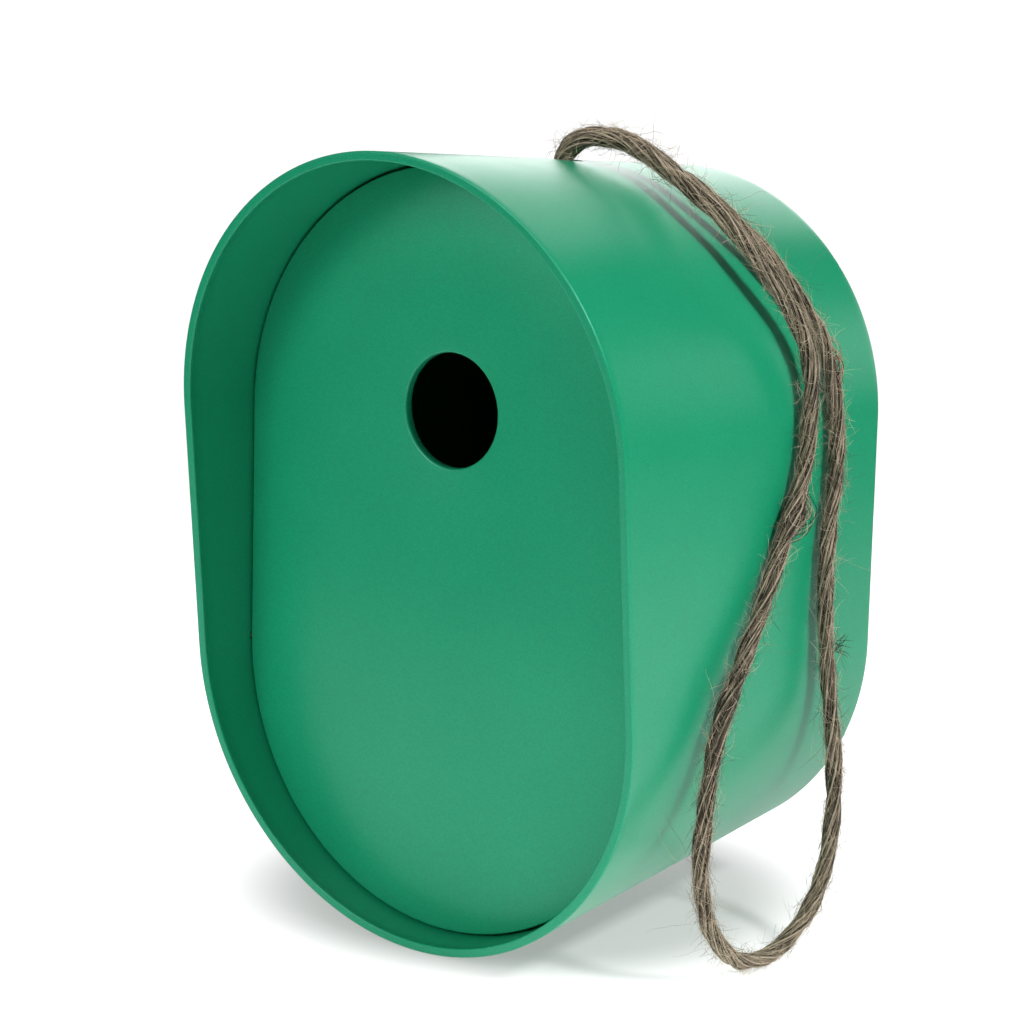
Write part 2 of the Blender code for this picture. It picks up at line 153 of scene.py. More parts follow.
# The twisted yarns that make the rope, and the strands of fibre in a yarn as (count, depth).
PLY_COUNT = 4
PLY_RADIUS = 0.00118
LAY_RADIUS = 0.00116
LAY_PITCH = 0.056
FIBRE_PITCH = 0.085
RING_SEGMENTS = 44
RING_STEP = 0.0011
STRANDS = ((4, 0.10), (8, 0.085), (14, 0.065))
STREAK_STRETCH = 0.06
FIBRE_STEP = 0.0008

TAIL_ROUTES = {
    "rope_tail_left": ((-0.0042, -0.0630, 0.0868), (-0.0066, -0.0640, 0.0790), (-0.0080, -0.0650, 0.0690)),
    "rope_tail_right": ((0.0042, -0.0640, 0.0868), (0.0070, -0.0622, 0.0800), (0.0098, -0.0600, 0.0715)),
}
KNOT_CENTRE = (0.0, -0.0635, 0.0938)
KNOT_TURNS = 2.4
KNOT_WINDING_RADIUS = 0.0056

# Shares of the rope's length: where a strand bulges out, where it is frayed and where redder fibres lie.
LOOSE_SHARE = 0.259
TUFT_SHARE = 0.674
RED_SHARE = 0.807
# Painted light and shade along the rope: stretches painted paler or darker than the rest for how light falls
# on them, as share of the length, spread and change of tone.
PAINTED_ROPE_LIGHT_AND_SHADE = ((0.19, 0.05, -0.12), (0.38, 0.045, -0.28), (0.50, 0.07, 0.25), (0.88, 0.06, 0.25))


# ---------------------------------------------------------------- camera

# Focal length and sensor width in millimetres, place in metres and angles in radians.
CAMERA_LENS = 110.25
CAMERA_SENSOR = 36.0
CAMERA_PLACE = (0.5302, -0.7727, 0.1751)
CAMERA_TURN = 0.6559
CAMERA_DIP = 0.1902
CAMERA_ROLL = 0.0232


def make_camera():
    """A long lens from the front right and a little above, rolled a touch."""
    data = bpy.data.cameras.new("camera")
    data.lens = CAMERA_LENS
    data.sensor_width = CAMERA_SENSOR
    camera = bpy.data.objects.new("camera", data)
    bpy.context.scene.collection.objects.link(camera)
    ahead = Vector((
        -math.sin(CAMERA_TURN) * math.cos(CAMERA_DIP),
        math.cos(CAMERA_TURN) * math.cos(CAMERA_DIP),
        -math.sin(CAMERA_DIP),
    ))
    level = Vector((math.cos(CAMERA_TURN), math.sin(CAMERA_TURN), 0.0))
    above = level.cross(ahead)
    right = math.cos(CAMERA_ROLL) * level + math.sin(CAMERA_ROLL) * above
    up = -math.sin(CAMERA_ROLL) * level + math.cos(CAMERA_ROLL) * above
    rotation = Matrix((right, up, -ahead)).transposed()
    camera.matrix_world = Matrix.Translation(CAMERA_PLACE) @ rotation.to_4x4()
    bpy.context.scene.camera = camera


# ---------------------------------------------------------------- mesh helpers

def object_from_bmesh(name, shape):
    bmesh.ops.recalc_face_normals(shape, faces=shape.faces)
    mesh = bpy.data.meshes.new(name)
    shape.to_mesh(mesh)
    shape.free()
    made = bpy.data.objects.new(name, mesh)
    bpy.context.scene.collection.objects.link(made)
    return made


def object_from_arrays(name, vertices, faces, tones, places):
    """A mesh from arrays, with each vertex's tone and place in the yarn, which the jute's material reads."""
    mesh = bpy.data.meshes.new(name)
    mesh.from_pydata(vertices.tolist(), [], faces)
    mesh.update()
    tone = mesh.attributes.new("tone", "FLOAT", "POINT")
    tone.data.foreach_set("value", np.asarray(tones, dtype=np.float32))
    place = mesh.attributes.new("yarn_place", "FLOAT_VECTOR", "POINT")
    place.data.foreach_set("vector", np.asarray(places, dtype=np.float32).reshape(-1))
    mesh.shade_smooth()
    made = bpy.data.objects.new(name, mesh)
    bpy.context.scene.collection.objects.link(made)
    return made


def smooth(made, degrees):
    made.data.shade_smooth()
    made.data.set_sharp_from_angle(angle=math.radians(degrees))


def cylinder(name, radius, length, centre, axis, segments):
    shape = bmesh.new()
    turn = Vector(axis).to_track_quat("Z", "Y").to_matrix().to_4x4()
    bmesh.ops.create_cone(shape, cap_ends=True, segments=segments, radius1=radius, radius2=radius,
                          depth=length, matrix=Matrix.Translation(centre) @ turn)
    return object_from_bmesh(name, shape)


def block(name, low, high):
    shape = bmesh.new()
    low = Vector(low)
    high = Vector(high)
    size = high - low
    place = Matrix.Translation((low + high) / 2.0) @ Matrix.Diagonal((size.x, size.y, size.z, 1.0))
    bmesh.ops.create_cube(shape, size=1.0, matrix=place)
    return object_from_bmesh(name, shape)


def apply_modifiers(made):
    bpy.context.view_layer.update()
    graph = bpy.context.evaluated_depsgraph_get()
    result = bpy.data.meshes.new_from_object(made.evaluated_get(graph), depsgraph=graph)
    made.modifiers.clear()
    made.data = result


def combine(target, tool, operation):
    """Join a tool to a target, or cut it out, and remove the tool."""
    modifier = target.modifiers.new(operation.lower(), "BOOLEAN")
    modifier.operation = operation
    modifier.solver = "EXACT"
    modifier.object = tool
    apply_modifiers(target)
    bpy.data.objects.remove(tool, do_unlink=True)


def bevel_edges(made, width):
    """A narrow bevel on every edge that is sharper than 40 degrees, left as a modifier."""
    modifier = made.modifiers.new("edge", "BEVEL")
    modifier.width = width
    modifier.segments = 2
    modifier.limit_method = "ANGLE"
    modifier.angle_limit = math.radians(40.0)


def ring_stack(name, rings, closed=False):
    """A body skinned over rings of equal length; unless it closes on itself, its ends are capped."""
    shape = bmesh.new()
    loops = [[shape.verts.new(point) for point in ring] for ring in rings]
    count = len(loops[0])
    pairs = list(zip(loops, loops[1:]))
    if closed:
        pairs.append((loops[-1], loops[0]))
    for first, second in pairs:
        for index in range(count):
            after = (index + 1) % count
            shape.faces.new((first[index], first[after], second[after], second[index]))
    if not closed:
        shape.faces.new(loops[0])
        shape.faces.new(loops[-1])
    return object_from_bmesh(name, shape)


# ---------------------------------------------------------------- the tub's tapered wall

ARC_STEPS = 90
SIDE_STEPS = 22
WALL_ROWS = 64


def pill(half_width, half_height):
    """Outline (x, z) of two half circles joined by straight sides, with evenly spread points."""
    centre = half_height - half_width
    points = []
    for middle, start, side in ((centre, 0.0, -1.0), (-centre, math.pi, 1.0)):
        for step in range(ARC_STEPS):
            angle = start + math.pi * step / ARC_STEPS
            points.append((half_width * math.cos(angle), middle + half_width * math.sin(angle)))
        for step in range(SIDE_STEPS):
            points.append((side * half_width, middle - 2.0 * middle * step / SIDE_STEPS))
    return points


def wall_outline(y=None, inset=0.0, behind_mouth=0.0):
    """Outline of the tapered wall at a depth, or at or behind the leaning mouth where none is given."""
    mouth = pill(MOUTH_WIDTH / 2.0 - inset, MOUTH_HEIGHT / 2.0 - inset)
    back = pill(BACK_WIDTH / 2.0 - inset, BACK_HEIGHT / 2.0 - inset)
    points = []
    for (mouth_x, mouth_z), (back_x, back_z) in zip(mouth, back):
        edge_y = -(DEPTH + mouth_z * math.tan(MOUTH_LEAN))
        depth = edge_y + behind_mouth if y is None else y
        share = 1.0 - depth / edge_y
        points.append(Vector((
            mouth_x + (back_x - mouth_x) * share,
            edge_y * (1.0 - share),
            mouth_z + (back_z - mouth_z) * share,
        )))
    return points


def shifted(outline, y):
    return [Vector((point.x, y, point.z)) for point in outline]


def roof_height(y, inset):
    return max(point.z for point in wall_outline(y, inset))


def side_wall_x(y, inset):
    return max(point.x for point in wall_outline(y, inset))


def panel_pivot_height():
    outline = wall_outline(PANEL_BACK_Y, WALL + PANEL_GAP)
    lowest = min(point.z for point in outline)
    widest = max(point.x for point in outline if point.z < 0.0)
    return lowest + widest


def round_steps(radius, count):
    """Steps round a quarter-circle edge as (along, inward), from the outer side to the end face."""
    steps = []
    for step in range(count + 1):
        angle = 0.5 * math.pi * step / count
        steps.append((radius * (1.0 - math.sin(angle)), radius * (1.0 - math.cos(angle))))
    return steps


def rings_between(start, end, rows):
    """Outlines spread evenly from one to another, both included."""
    rings = []
    for row in range(rows + 1):
        share = row / rows
        rings.append([first.lerp(second, share) for first, second in zip(start, end)])
    return rings


def outer_wall_rings():
    """From the rounded edge of the back to the edge of the mouth."""
    rings = []
    for along, inset in reversed(round_steps(BACK_EDGE_ROUND, 4)):
        rings.append(wall_outline(-along, inset))
    back = wall_outline(-BACK_EDGE_ROUND)
    mouth = wall_outline(behind_mouth=LIP_OUTER_ROUND)
    return rings + rings_between(back, mouth, WALL_ROWS)[1:-1]


def lip_rings():
    """Round the lip, which is wider than the wall behind it."""
    rings = []
    for along, inset in round_steps(LIP_OUTER_ROUND, 5):
        rings.append(wall_outline(inset=inset, behind_mouth=along))
    for along, inset in reversed(round_steps(LIP_INNER_ROUND, 3)):
        rings.append(wall_outline(inset=LIP_WIDTH - inset, behind_mouth=along))
    rings.append(wall_outline(inset=(LIP_WIDTH + WALL) / 2.0, behind_mouth=LIP_DEPTH * 0.5))
    return rings


def inner_wall_rings():
    """From behind the lip to the rounded corner of the back wall."""
    mouth = wall_outline(inset=WALL, behind_mouth=LIP_DEPTH)
    back = wall_outline(-BACK_WALL - BACK_CORNER_ROUND, WALL)
    rings = rings_between(mouth, back, WALL_ROWS)
    for along, inset in round_steps(BACK_CORNER_ROUND, 4)[1:]:
        rings.append(wall_outline(-BACK_WALL - along, WALL + inset))
    return rings


def build_shell():
    """Outer wall with a rounded lip and back edge, inner wall, and a back wall."""
    shell = ring_stack("tub_shell", outer_wall_rings() + lip_rings() + inner_wall_rings())
    cut_rope_hole(shell)
    cut_drains(shell)
    cut_keyhole(shell)
    cut_pin_bores(shell)
    add_stop(shell)
    smooth(shell, 35.0)
    return shell


def add_stop(shell):
    """The stop on the roof that the closed panel rests against, and that the catch turns behind."""
    stop_y = PANEL_BACK_Y + PANEL_GAP
    roof = roof_height(stop_y, WALL)
    stop = block("stop", (-STOP_HALF_WIDTH, stop_y, roof - STOP_DROP),
                 (STOP_HALF_WIDTH, stop_y + STOP_THICKNESS, roof + WALL / 2.0))
    bevel_edges(stop, STOP_EDGE)
    apply_modifiers(stop)
    combine(shell, stop, "UNION")


def cut_rope_hole(shell):
    roof = Vector((0.0, -ROPE_HOLE_FROM_BACK, roof_height(-ROPE_HOLE_FROM_BACK, WALL / 2.0)))
    combine(shell, cylinder("cut", ROPE_HOLE_RADIUS, 0.02, roof, (0.0, 0.0, 1.0), 64), "DIFFERENCE")


def cut_drains(shell):
    for from_back in DRAINS_FROM_BACK:
        floor = Vector((0.0, -from_back, -roof_height(-from_back, WALL / 2.0)))
        combine(shell, cylinder("cut", DRAIN_RADIUS, 0.01, floor, (0.0, 0.0, 1.0), 32), "DIFFERENCE")


def cut_keyhole(shell):
    """A round head with a narrow slot above it, through the back wall."""
    head = Vector((0.0, -BACK_WALL / 2.0, KEYHOLE_HEIGHT))
    combine(shell, cylinder("cut", KEYHOLE_HEAD_RADIUS, 0.01, head, (0.0, 1.0, 0.0), 48), "DIFFERENCE")
    outline = [(KEYHOLE_SLOT_RADIUS, 0.0)]
    for step in range(25):
        angle = math.pi * step / 24
        outline.append((KEYHOLE_SLOT_RADIUS * math.cos(angle),
                        KEYHOLE_TRAVEL + KEYHOLE_SLOT_RADIUS * math.sin(angle)))
    outline.append((-KEYHOLE_SLOT_RADIUS, 0.0))
    rings = []
    for y in (-0.005, 0.005):
        rings.append([head + Vector((x, y, z)) for x, z in outline])
    combine(shell, ring_stack("cut", rings), "DIFFERENCE")


def cut_pin_bores(shell):
    inside = side_wall_x(PIVOT_Y, WALL)
    for side in (-1.0, 1.0):
        centre = (side * inside, PIVOT_Y, panel_pivot_height())
        bore = cylinder("cut", PIN_BORE_RADIUS, 2.0 * PIN_BORE_DEPTH, centre, (1.0, 0.0, 0.0), 24)
        combine(shell, bore, "DIFFERENCE")


# ---------------------------------------------------------------- front panel

def inward(outline, distance):
    """The outline moved in along its own normals."""
    moved = []
    count = len(outline)
    for index, point in enumerate(outline):
        along = outline[(index + 1) % count] - outline[index - 1]
        normal = Vector((-along.z, 0.0, along.x)).normalized()
        moved.append(point + normal * distance)
    return moved


def entrance_ring(outline, radius, y):
    """Points round the entrance, each in the direction of the outline's point from the hole's centre."""
    ring = []
    for point in outline:
        angle = math.atan2(point.z - ENTRANCE_HEIGHT, point.x)
        ring.append(Vector((radius * math.cos(angle), y, ENTRANCE_HEIGHT + radius * math.sin(angle))))
    return ring


def panel_rings(edge):
    """From the rounded front of the entrance over the front face and the rim to the back of the entrance."""
    rings = []
    for along, inset in round_steps(HOLE_ROUND, 4):
        rings.append(entrance_ring(edge, ENTRANCE_RADIUS + inset, PANEL_FRONT_Y + along))
    for along, inset in reversed(round_steps(RIM_ROUND, 3)):
        rings.append(shifted(inward(edge, inset), PANEL_FRONT_Y + along))
    rings.append(shifted(edge, PANEL_BACK_Y))
    for along, inset in reversed(round_steps(HOLE_ROUND, 4)):
        rings.append(entrance_ring(edge, ENTRANCE_RADIUS + inset, PANEL_BACK_Y - along))
    return rings


def build_panel():
    """The flat panel with rounded edges, its entrance, flange, ears, rungs and catch boss."""
    edge = wall_outline(PANEL_BACK_Y, WALL + PANEL_GAP)
    panel = ring_stack("panel", panel_rings(edge), closed=True)
    add_flange(panel, edge)
    add_rungs(panel)
    add_ears(panel)
    add_catch_boss(panel)
    smooth(panel, 35.0)
    return panel


def add_flange(panel, edge):
    outer = inward(edge, FLANGE_INSET)
    inner = inward(edge, FLANGE_INSET + FLANGE_THICKNESS)
    start_y = PANEL_BACK_Y - PANEL_THICKNESS / 2.0
    end_y = PANEL_BACK_Y + FLANGE_DEPTH
    rings = [shifted(outer, start_y), shifted(outer, end_y), shifted(inner, end_y), shifted(inner, start_y)]
    flange = ring_stack("flange", rings, closed=True)
    half = FLANGE_OPENING / 2.0
    combine(flange, block("cut", (-half, start_y - 0.001, 0.05), (half, end_y + 0.001, 0.15)), "DIFFERENCE")
    combine(panel, flange, "UNION")


def add_rungs(panel):
    """Low ridges below the entrance that fledglings climb."""
    entrance_bottom = ENTRANCE_HEIGHT - ENTRANCE_RADIUS
    for rung in range(RUNG_COUNT):
        height = entrance_bottom - RUNG_PITCH * (rung + 1)
        ridge = block("rung", (-RUNG_HALF_WIDTH, PANEL_BACK_Y - 0.001, height),
                      (RUNG_HALF_WIDTH, PANEL_BACK_Y + RUNG_SIZE, height + RUNG_SIZE))
        bevel_edges(ridge, RUNG_SIZE / 4.0)
        apply_modifiers(ridge)
        combine(panel, ridge, "UNION")


def add_ears(panel):
    """Half-round ears behind the panel, and the bores in them for the hinge pins."""
    pivot_height = panel_pivot_height()
    outer_x = side_wall_x(PANEL_BACK_Y, WALL + PANEL_GAP) - EAR_GAP
    for side in (-1.0, 1.0):
        centre = Vector((side * (outer_x - EAR_LENGTH / 2.0), PIVOT_Y, pivot_height))
        ear = cylinder("ear", EAR_RADIUS, EAR_LENGTH, centre, (1.0, 0.0, 0.0), 40)
        reach = Vector((EAR_LENGTH, 0.02, 0.02))
        front_half = block("cut", centre - reach, (centre.x + EAR_LENGTH, PIVOT_Y, centre.z + 0.02))
        combine(ear, front_half, "DIFFERENCE")
        combine(panel, ear, "UNION")
    for side in (-1.0, 1.0):
        centre = (side * (outer_x + EAR_GAP), PIVOT_Y, pivot_height)
        bore = cylinder("cut", PIN_BORE_RADIUS, 2.0 * EAR_LENGTH, centre, (1.0, 0.0, 0.0), 24)
        combine(panel, bore, "DIFFERENCE")


def add_catch_boss(panel):
    """The round boss that the catch turns against, with the hole for its screw."""
    toggle_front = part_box("latch_toggle")[0][1]
    screw_low, screw_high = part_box("latch_screw")
    height = (screw_low[2] + screw_high[2]) / 2.0
    start_y = PANEL_BACK_Y - PANEL_THICKNESS / 2.0
    end_y = toggle_front - RUNNING_GAP
    centre = (0.0, (start_y + end_y) / 2.0, height)
    boss = cylinder("boss", BOSS_RADIUS, end_y - start_y, centre, (0.0, 1.0, 0.0), 40)
    combine(panel, boss, "UNION")
    centre = (0.0, screw_low[1] - RUNNING_GAP + SCREW_HOLE_DEPTH / 2.0, height)
    hole = cylinder("cut", SCREW_HOLE_RADIUS, SCREW_HOLE_DEPTH, centre, (0.0, 1.0, 0.0), 32)
    combine(panel, hole, "DIFFERENCE")


# ---------------------------------------------------------------- rope

def smooth_route(points, step):
    """Evenly spaced points on a smooth curve through the given points."""
    knots = np.array(points)
    padded = np.vstack([2.0 * knots[0] - knots[1], knots, 2.0 * knots[-1] - knots[-2]])
    fine = []
    shares = np.arange(40)[:, None] / 40.0
    for before, start, end, after in zip(padded, padded[1:], padded[2:], padded[3:]):
        fine.append(0.5 * (2.0 * start + (end - before) * shares
                           + (2.0 * before - 5.0 * start + 4.0 * end - after) * shares ** 2
                           + (3.0 * start - before - 3.0 * end + after) * shares ** 3))
    fine = np.vstack(fine + [knots[-1:]])
    distance = np.concatenate([[0.0], np.cumsum(np.linalg.norm(np.diff(fine, axis=0), axis=1))])
    count = max(2, int(round(distance[-1] / step)))
    wanted = np.linspace(0.0, distance[-1], count + 1)
    return np.stack([np.interp(wanted, distance, fine[:, axis]) for axis in range(3)], axis=1)


def route_frames(path):
    """Tangent and two side directions at each point, carried along without twist."""
    tangents = np.gradient(path, axis=0)
    tangents /= np.linalg.norm(tangents, axis=1)[:, None]
    side = np.cross(tangents[0], (0.31, 0.88, 0.35))
    side /= np.linalg.norm(side)
    sides = []
    for tangent in tangents:
        side = side - tangent * (side @ tangent)
        side = side / np.linalg.norm(side)
        sides.append(side)
    sides = np.array(sides)
    return tangents, sides, np.cross(tangents, sides)


def ring_directions(segments, sides, others):
    """The turn of each point of a ring, and its direction at each point of a path."""
    turn = np.linspace(0.0, 2.0 * math.pi, segments, endpoint=False)
    across = np.cos(turn)[None, :, None] * sides[:, None, :]
    return turn, across + np.sin(turn)[None, :, None] * others[:, None, :]


def wavy(positions, wavelength, seed):
    """A smooth random line between -1 and 1 along a length."""
    source = np.random.default_rng(seed)
    count = int(positions[-1] / wavelength) + 4
    knots = source.uniform(-1.0, 1.0, count)
    at = positions / wavelength
    base = np.floor(at).astype(int)
    share = at - base
    share = share * share * (3.0 - 2.0 * share)
    return knots[base] * (1.0 - share) + knots[base + 1] * share


def ply_surface(along, yarn_turn, fat, seed):
    """Radius and tone round a yarn: strands of fibre with painted shade that darkens the tone between them,
    slow changes of width and a fine grain.
    """
    source = np.random.default_rng(seed + 5)
    radius = np.full_like(yarn_turn, PLY_RADIUS) * fat[:, None]
    radius *= (1.0 + 0.08 * wavy(along, 0.008, seed + 2))[:, None]
    tone = np.zeros_like(radius)
    for count, depth in STRANDS:
        drift = 1.4 * wavy(along, 0.022, seed + 10 + count)
        wave = np.cos(count * yarn_turn + (count * 0.35 * drift)[:, None] + source.uniform(0.0, 6.3))
        strength = 0.75 + 0.25 * wavy(along, 0.016, seed + 30 + count)
        radius *= 1.0 + depth * strength[:, None] * wave
        # Painted shade: the tone follows the strands, higher on them and lower in the grooves between them.
        tone += depth * 6.0 * strength[:, None] * wave
    grain = source.normal(0.0, 1.0, radius.shape)
    grain = (grain + np.roll(grain, 1, axis=0) + np.roll(grain, 2, axis=0)) / 1.7
    radius *= 1.0 + 0.026 * grain
    return radius, tone + 0.20 * grain


def ply_tube(path, phase, seed, fat, shade):
    """One of the rope's plies: a yarn laid in a helix, with strands of fibre in its surface.

    Returns its vertices and faces, a tone for each vertex that is high on the strands and low between them
    as painted shade, and a place for each vertex in the straightened yarn, for the material's streaks.
    """
    tangents, sides, others = route_frames(path)
    steps = np.linalg.norm(np.diff(path, axis=0), axis=1)
    along = np.concatenate([[0.0], np.cumsum(steps)])
    fat = np.broadcast_to(fat, len(path))
    lay = 2.0 * math.pi * along / LAY_PITCH + phase + 0.45 * wavy(along, 0.026, seed)
    offset = LAY_RADIUS * fat * (1.0 + 0.16 * wavy(along, 0.012, seed + 1))
    centre = path + offset[:, None] * (np.cos(lay)[:, None] * sides + np.sin(lay)[:, None] * others)
    turn, ring = ring_directions(RING_SEGMENTS, sides, others)
    yarn_turn = turn[None, :] - (2.0 * math.pi * along / FIBRE_PITCH)[:, None]
    radius, tone = ply_surface(along, yarn_turn, fat, seed)
    # Painted light and shade along the rope, added to each ring's tone.
    tone += np.broadcast_to(shade, len(path))[:, None]
    vertices = centre[:, None, :] + radius[:, :, None] * ring
    straight = np.stack([
        PLY_RADIUS * np.cos(yarn_turn),
        PLY_RADIUS * np.sin(yarn_turn),
        np.broadcast_to(along[:, None] * STREAK_STRETCH + phase, yarn_turn.shape),
    ], axis=-1)
    faces = tube_faces(len(path), RING_SEGMENTS)
    return vertices.reshape(-1, 3), faces, tone.reshape(-1), straight.reshape(-1, 3)


def tube_faces(rings, segments):
    """Faces of a closed tube whose vertices come ring by ring."""
    index = np.arange(rings * segments).reshape(rings, segments)
    start = index[:-1]
    end = index[1:]
    corners = (start, np.roll(start, -1, axis=1), np.roll(end, -1, axis=1), end)
    faces = np.stack(corners, axis=-1).reshape(-1, 4).tolist()
    faces.append(index[0][::-1].tolist())
    faces.append(index[-1].tolist())
    return faces


def joined(name, parts):
    """One object from several parts, each given as (vertices, faces, tones, places)."""
    vertices = []
    faces = []
    tones = []
    places = []
    start = 0
    for part_vertices, part_faces, part_tones, part_places in parts:
        vertices.append(part_vertices)
        faces.extend([index + start for index in face] for face in part_faces)
        tones.append(part_tones)
        places.append(part_places)
        start += len(part_vertices)
    return object_from_arrays(name, np.vstack(vertices), faces, np.concatenate(tones), np.vstack(places))


def plies(path, seed, fat=1.0, shade=0.0):
    """The rope's plies; fat widens them and shade, which is painted light and shade, makes them paler or
    darker along the path.
    """
    made = []
    for ply in range(PLY_COUNT):
        made.append(ply_tube(path, 2.0 * math.pi * ply / PLY_COUNT, seed + 100 * ply, fat, shade))
    return made


def painted_rope_light_and_shade(shares):
    """Painted light and shade: how much paler or darker than usual the rope is painted at some shares of its
    length.
    """
    shade = np.zeros(len(shares))
    for middle, spread, change in PAINTED_ROPE_LIGHT_AND_SHADE:
        shade += change * np.exp(-((shares - middle) / spread) ** 2)
    return shade


def fibre_tube(points, radius, tone):
    """A thin closed tube that tapers to its ends."""
    tangents, sides, others = route_frames(points)
    count = len(points)
    nearest_end = np.minimum(np.arange(count), np.arange(count)[::-1])
    taper = np.minimum(1.0, 0.35 + 2.5 * nearest_end / count)
    ring = ring_directions(3, sides, others)[1]
    vertices = (points[:, None, :] + (radius * taper)[:, None, None] * ring).reshape(-1, 3)
    return vertices, tube_faces(count, 3), np.full(len(vertices), tone), vertices


def fibre_line(start, heading, length, curl, back, source):
    """Points of a loose fibre that wanders from a start and curls, most often towards the way back."""
    steps = max(6, int(length / FIBRE_STEP))
    step_length = length / steps
    bend_axis = np.cross(heading, back) + source.normal(0.0, 0.45, 3)
    bend = abs(source.normal(0.7 * curl, 0.5 * curl))
    points = [start]
    for _ in range(steps):
        bend_axis = bend_axis + source.normal(0.0, 0.30, 3)
        bend_axis = bend_axis / np.linalg.norm(bend_axis)
        heading = heading + np.cross(bend_axis, heading) * bend * step_length
        heading = heading + source.normal(0.0, 0.10, 3)
        heading = heading / np.linalg.norm(heading)
        points.append(points[-1] + heading * step_length)
    return np.array(points)


def build_fuzz(name, path, count, lengths, rise, curl, thickness, sideways, source):
    """Loose fibres that start on the rope's surface, lean along it or sideways, and curl away."""
    tangents, sides, others = route_frames(path)
    # Painted light and shade along the rope, which the loose fibres share.
    shade = painted_rope_light_and_shade(np.linspace(0.0, 1.0, len(path)))
    parts = []
    for _ in range(count):
        at = int(source.uniform(0.0, 1.0) * (len(path) - 1))
        angle = source.uniform(0.0, 2.0 * math.pi)
        out = math.cos(angle) * sides[at] + math.sin(angle) * others[at]
        ahead = tangents[at] * source.choice((-1.0, 1.0))
        lean = source.uniform(*rise)
        heading = ahead * math.cos(lean) + out * math.sin(lean)
        heading = heading + np.cross(ahead, out) * source.normal(0.0, sideways)
        heading = heading / np.linalg.norm(heading)
        start = path[at] + out * ROPE_RADIUS * source.uniform(0.90, 1.06)
        line = fibre_line(start, heading, source.uniform(*lengths), curl, -out, source)
        parts.append(fibre_tube(line, source.uniform(*thickness), source.uniform(-0.5, 1.3) + shade[at]))
    return joined(name, parts)


def build_tuft(name, path, share, heading, source):
    """A frayed spot where a bundle of broken fibres stands out of the rope."""
    at = int(share * (len(path) - 1))
    heading = np.array(heading)
    parts = []
    for _ in range(26):
        start = path[at + source.integers(-2, 3)] + heading * ROPE_RADIUS * 0.8
        way = heading + source.normal(0.0, 0.35, 3)
        way = way / np.linalg.norm(way)
        line = fibre_line(start, way, source.uniform(0.003, 0.0075), 260.0, way, source)
        parts.append(fibre_tube(line, source.uniform(0.00005, 0.00010), source.uniform(-2.0, 0.2)))
    return joined(name, parts)


def build_loose_strand(name, path, share, heading, count, halves, rises, source):
    """A bundle of fibres that has worked loose and bulges out of the rope's side."""
    middle = share * (len(path) - 1)
    parts = []
    for _ in range(count):
        half = source.uniform(*halves) / RING_STEP
        centre = middle + source.normal(0.0, 0.0016) / RING_STEP
        stretch = path[max(0, int(centre - half)):int(centre + half)]
        shares = np.linspace(0.0, 1.0, len(stretch))
        side = source.normal(0.0, 0.45, 3)
        rise = source.uniform(*rises) * np.sin(np.pi * shares) ** source.uniform(0.8, 1.6)
        wander = 0.0003 * np.cumsum(source.normal(0.0, 0.5, (len(stretch), 3)), axis=0)
        line = stretch + np.outer(rise, np.array(heading) + 0.3 * side) + 0.0012 * side + wander
        parts.append(fibre_tube(line, source.uniform(0.00006, 0.00014), source.uniform(-1.6, 1.2)))
    return joined(name, parts)


def build_loose_fibres(path):
    """Everything on the rope that isn't a ply, from fibres that cling to it to a frayed spot."""
    source = np.random.default_rng(23)
    loose = [
        build_fuzz("rope_clinging_fibres", path, 2700, (0.004, 0.011), (0.02, 0.36), 150.0,
                   (0.000025, 0.000055), 0.35, source),
        build_fuzz("rope_crossing_fibres", path, 3300, (0.0025, 0.0065), (0.0, 0.22), 300.0,
                   (0.000025, 0.000055), 0.9, source),
        build_fuzz("rope_stray_fibres", path, 900, (0.003, 0.008), (0.2, 0.9), 500.0,
                   (0.000025, 0.000042), 0.35, source),
        build_fuzz("rope_long_fibres", path, 150, (0.009, 0.018), (0.3, 1.1), 380.0,
                   (0.000026, 0.000042), 0.35, source),
        build_tuft("rope_frayed_spot", path, TUFT_SHARE, (0.62, 0.75, 0.2), source),
        build_loose_strand("rope_loose_strand", path, LOOSE_SHARE, (0.78, 0.55, -0.28), 90,
                           (0.0050, 0.0085), (0.0016, 0.0046), source),
    ]
    red_strand = build_loose_strand("rope_red_strand", path, RED_SHARE, (0.92, 0.38, 0.10), 16,
                                    (0.0040, 0.0070), (0.0021, 0.0027), source)
    return loose, red_strand


def build_rope(jute, fibre, red):
    """The loop with its loose fibres, the knot under the roof and the two cut tails."""
    path = smooth_route(ROPE_ROUTE, RING_STEP)
    along = np.linspace(0.0, 1.0, len(path))
    fat = 1.0 + 0.30 * np.exp(-((along - LOOSE_SHARE) / 0.012) ** 2)
    # The plies get painted light and shade along the rope.
    rope = joined("rope_loop", plies(path, 11, fat, painted_rope_light_and_shade(along)))
    loose, red_strand = build_loose_fibres(path)
    knot = build_knot()
    tails = []
    for name, route in TAIL_ROUTES.items():
        tails.append(joined(name + "_fibres", plies(smooth_route(route, RING_STEP), 50 + len(tails))))
    for piece in [rope, knot] + tails:
        piece.data.materials.append(jute)
    for piece in loose:
        piece.data.materials.append(fibre)
    red_strand.data.materials.append(red)
    loose.append(red_strand)
    for piece in [rope, knot] + loose + tails:
        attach(piece, "tub")
    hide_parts("rope")
    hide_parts("rope_knot")
    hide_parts("rope_tail_left")
    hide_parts("rope_tail_right")
    route = np.vstack([path[:-1:5], path[-1:]])


